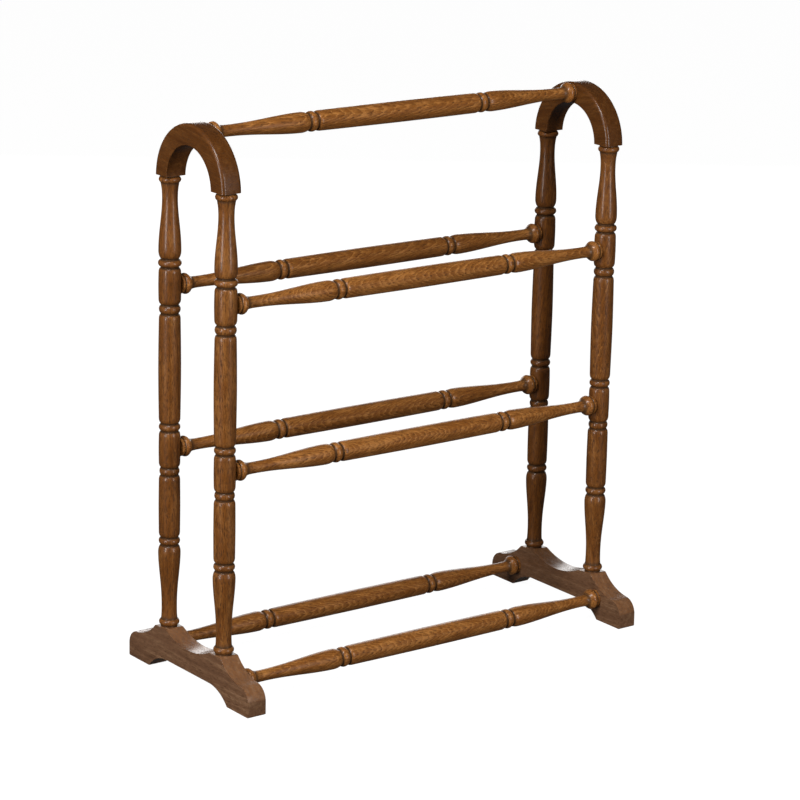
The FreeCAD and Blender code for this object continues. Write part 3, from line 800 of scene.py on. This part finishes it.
class RACK_OT_saw_feet(bpy.types.Operator):
    """Saws a foot from its outline, rounds its upper edges and copies it to the other side"""

    bl_idname = "quilt_rack.saw_feet"
    bl_label = "Saw Feet"

    def execute(self, context):
        sizes = context.scene.rack_sawn
        low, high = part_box("left_foot")
        thick = high.x - low.x
        post_y = abs(middle_of("left_back_post").y)
        corners = foot_corners(sizes, high.y, high.z, post_y)
        points = [(-thick / 2, y, z) for y, z in rounded(corners)]
        model = draw_outline("foot_model", points)
        bpy.ops.mesh.select_all(action="SELECT")
        bpy.ops.mesh.edge_face_add()
        bpy.ops.mesh.extrude_region_move(TRANSFORM_OT_translate={"value": (thick, 0, 0)})
        bpy.ops.mesh.select_all(action="SELECT")
        bpy.ops.mesh.normals_make_consistent(inside=False)
        above = sizes.cutout_height + 1 * MM

        def upper_edge(a, b):
            toe_end = min(abs(a.y), abs(b.y)) > high.y - WELD
            return abs(a.x - b.x) < WELD and (min(a.z, b.z) > above or toe_end)

        select_edges(model, upper_edge)
        bpy.ops.mesh.bevel(
            offset=sizes.foot_edge, segments=6, profile=0.5, affect="EDGES", clamp_overlap=True
        )
        bpy.ops.object.mode_set(mode="OBJECT")
        material = oak("foot_oak", context.scene.rack_finish, **FOOT_OAK)
        for side, pith, tilt in (("left", (52, 20), (0.03, 0.01)), ("right", (-44, 26), (-0.02, 0.03))):
            node = f"{side}_foot"
            place = (middle_of(node).x, 0, 0)
            piece = copy_piece(model, f"sawn_{node}", place)
            mark_grain(piece, 1, place, pith, tilt, 0.3)
            mark_shade(piece, 0.0)
            normals = np.array([v.normal[:] for v in piece.data.vertices])
            sideways = np.abs(normals[:, 0])
            # Its rounded upper edges take real rubbing and painted highlight; every upper face that does not
            # face sideways takes painted light, set by which way it points.
            slant = np.clip(1 - np.abs(sideways - 0.55) / 0.42, 0, 1)
            rub_highlight_and_painted_light = np.maximum(FOOT_EDGE_RUB_AND_HIGHLIGHT * slant, FOOT_TOP_PAINTED_LIGHT * (sideways < 0.5))
            mark(piece, "relief", rub_highlight_and_painted_light * (coordinates(piece)[:, 2] > above))
            stand_for(piece, node, material)
        bpy.data.objects.remove(model)
        return {"FINISHED"}


class RACK_OT_shape_arches(bpy.types.Operator):
    """Spins an arch from its rounded section, saws its legs level and copies it to the other side"""

    bl_idname = "quilt_rack.shape_arches"
    bl_label = "Shape Arches"

    def execute(self, context):
        sizes = context.scene.rack_sawn
        low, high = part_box("left_arch")
        half = (high.x - low.x) / 2
        post_y = abs(middle_of("left_back_post").y)
        outer = post_y + sizes.arch_width / 2
        inner = post_y - sizes.arch_width / 2
        centre = low.z - sizes.arch_trim
        section = rounded([
            (inner, -half, sizes.arch_inner_round),
            (outer, -half, sizes.arch_outer_round),
            (outer, half, sizes.arch_outer_round),
            (inner, half, sizes.arch_inner_round),
        ])
        model = draw_outline("arch_model", [(x, y, 0) for y, x in section])
        bpy.ops.mesh.select_all(action="SELECT")
        bpy.ops.mesh.edge_face_add()
        bpy.ops.mesh.select_all(action="SELECT")
        bpy.ops.mesh.spin(steps=64, angle=-math.pi, center=(0, 0, 0), axis=(1, 0, 0))
        bpy.ops.mesh.select_all(action="SELECT")
        bpy.ops.mesh.remove_doubles(threshold=WELD)
        bpy.ops.mesh.bisect(
            plane_co=(0, 0, sizes.arch_trim), plane_no=(0, 0, 1), use_fill=True, clear_inner=True
        )
        close_mesh()
        material = oak("arch_oak", context.scene.rack_finish, **ARCH_OAK)
        for side, pith, tilt in (("left", (30, 60), (0.10, -0.16)), ("right", (-34, 70), (-0.08, 0.18))):
            node = f"{side}_arch"
            place = (middle_of(node).x, 0, centre)
            piece = copy_piece(model, f"bent_{node}", place)
            mark_grain(piece, 1, place, pith, tilt, 0.2)
            mark_shade(piece, 0.0)
            normals = np.array([v.normal[:] for v in piece.data.vertices])
            spots = coordinates(piece) - np.array(place)
            far = np.hypot(spots[:, 1], spots[:, 2]) > post_y
            # The rounded edges take real rubbing and a painted highlight line.
            slant = np.clip(1 - np.abs(np.abs(normals[:, 0]) - 0.7) / 0.5, 0, 1)
            mark(piece, "relief", slant * np.where(far, ARCH_OUTER_RUB_AND_HIGHLIGHT, ARCH_INNER_RUB_AND_HIGHLIGHT))
            stand_for(piece, node, material)
        bpy.data.objects.remove(model)
        return {"FINISHED"}


# ---------------------------------------------------------------- stage


def add_light(name, size, place, aim, power):
    """A rectangular soft light, aimed at a point."""
    deselect_all()
    bpy.ops.object.light_add(type="AREA", location=place)
    light = bpy.context.object
    light.name = name
    light.data.shape = "RECTANGLE"
    light.data.size, light.data.size_y = size
    light.data.energy = power
    light.rotation_euler = (Vector(aim) - Vector(place)).to_track_quat("-Z", "Y").to_euler()
    return light


def pale_surface(name, tint, glow, albedo):
    """Matt paint that glows a little, so that shadows on it stay faint."""
    n = Nodes(name)
    paint = n.tree.nodes.new("ShaderNodeBsdfDiffuse")
    paint.inputs[0].default_value = (*(c * albedo for c in tint), 1)
    light = n.tree.nodes.new("ShaderNodeEmission")
    light.inputs[1].default_value = glow
    both = n.tree.nodes.new("ShaderNodeAddShader")
    out = n.tree.nodes.new("ShaderNodeOutputMaterial")
    n.tree.links.new(paint.outputs[0], both.inputs[0])
    n.tree.links.new(light.outputs[0], both.inputs[1])
    n.tree.links.new(both.outputs[0], out.inputs[0])
    return n.material


class RACK_OT_set_stage(bpy.types.Operator):
    """Lays the pale floor, hangs the soft lights and sets the camera"""

    bl_idname = "quilt_rack.set_stage"
    bl_label = "Set Stage"

    def execute(self, context):
        settings = context.scene.rack_stage
        middle = (cad_low + cad_high) / 2
        plane, sphere = bpy.ops.mesh.primitive_plane_add, bpy.ops.mesh.primitive_uv_sphere_add
        for name, add, sizes, glow, albedo in (
            ("studio_floor", plane, {"size": 80}, 0.975, 0.12),
            ("studio_backdrop", sphere, {"radius": 38, "segments": 64}, 0.985, 0.0),
        ):
            deselect_all()
            add(location=(0, 0, 0), **sizes)
            surround = bpy.context.object
            surround.name = name
            surround.visible_diffuse = False
            surround.visible_glossy = False
            surround.data.materials.append(pale_surface(name, settings.floor, glow, albedo))
        add_light("left_softbox", (0.7, 2.2), (-3.0, -0.6, 1.15), middle, 76)
        add_light("right_softbox", (0.7, 2.2), (0.5, -3.25, 1.15), middle, 70)
        add_light("overhead_softbox", (1.0, 0.8), (-1.6, -0.9, 2.8), middle, 70)
        add_light("sweep", (3.0, 1.2), (2.2, 3.2, 0.9), middle, 44)
        world = bpy.data.worlds.new("studio")
        world.use_nodes = True
        world.node_tree.nodes["Background"].inputs[0].default_value = (1, 1, 1, 1)
        world.node_tree.nodes["Background"].inputs[1].default_value = 0.06
        context.scene.world = world
        context.scene.view_settings.view_transform = "Standard"
        azimuth, elevation = settings.azimuth, settings.elevation
        level_back = Vector((math.sin(azimuth), -math.cos(azimuth), 0))
        back = level_back * math.cos(elevation) + Vector((0, 0, math.sin(elevation)))
        level = Vector((math.cos(azimuth), math.sin(azimuth), 0))
        upright = back.cross(level)
        right = math.cos(settings.roll) * level + math.sin(settings.roll) * upright
        up = math.cos(settings.roll) * upright - math.sin(settings.roll) * level
        nudge = 0.8 * MM
        bpy.ops.object.camera_add(location=(0, 0, 0))
        camera = context.object
        camera.name = "rack_camera"
        turn = Matrix((right, up, back)).transposed().to_4x4()
        aim = Vector((18.4 * MM, 0, 396.7 * MM)) + (up - right) * nudge
        camera.matrix_world = Matrix.Translation(aim + back * settings.distance) @ turn
        camera.data.sensor_width = 36
        camera.data.lens = settings.lens
        camera.data.clip_end = 200
        context.scene.camera = camera
        return {"FINISHED"}


class RACK_PT_panel(bpy.types.Panel):
    """Lists the rack's settings and the steps that make it"""

    bl_label = "Quilt Rack"
    bl_idname = "RACK_PT_panel"
    bl_space_type = "VIEW_3D"
    bl_region_type = "UI"
    bl_category = "Quilt Rack"

    def draw(self, context):
        layout = self.layout
        for operator in OPERATORS:
            layout.operator(operator.bl_idname)
        for place in GROUPS:
            group = getattr(context.scene, place)
            box = layout.box()
            for key in group.__annotations__:
                box.prop(group, key)


GROUPS = {
    "rack_turning": TurningSizes,
    "rack_sawn": SawnSizes,
    "rack_finish": OakFinish,
    "rack_stage": StageSettings,
}
OPERATORS = (
    RACK_OT_turn_posts,
    RACK_OT_turn_rails,
    RACK_OT_saw_feet,
    RACK_OT_shape_arches,
    RACK_OT_set_stage,
)


def register():
    for cls in (*GROUPS.values(), *OPERATORS, RACK_PT_panel):
        bpy.utils.register_class(cls)
    for key, group in GROUPS.items():
        setattr(bpy.types.Scene, key, bpy.props.PointerProperty(type=group))


def unregister():
    for key in GROUPS:
        delattr(bpy.types.Scene, key)
    for cls in reversed((*GROUPS.values(), *OPERATORS, RACK_PT_panel)):
        bpy.utils.unregister_class(cls)


def main():
    register()
    bpy.ops.quilt_rack.turn_posts()
    bpy.ops.quilt_rack.turn_rails()
    bpy.ops.quilt_rack.saw_feet()
    bpy.ops.quilt_rack.shape_arches()
    bpy.ops.quilt_rack.set_stage()
    deselect_all()


if __name__ == "__main__":
    main()
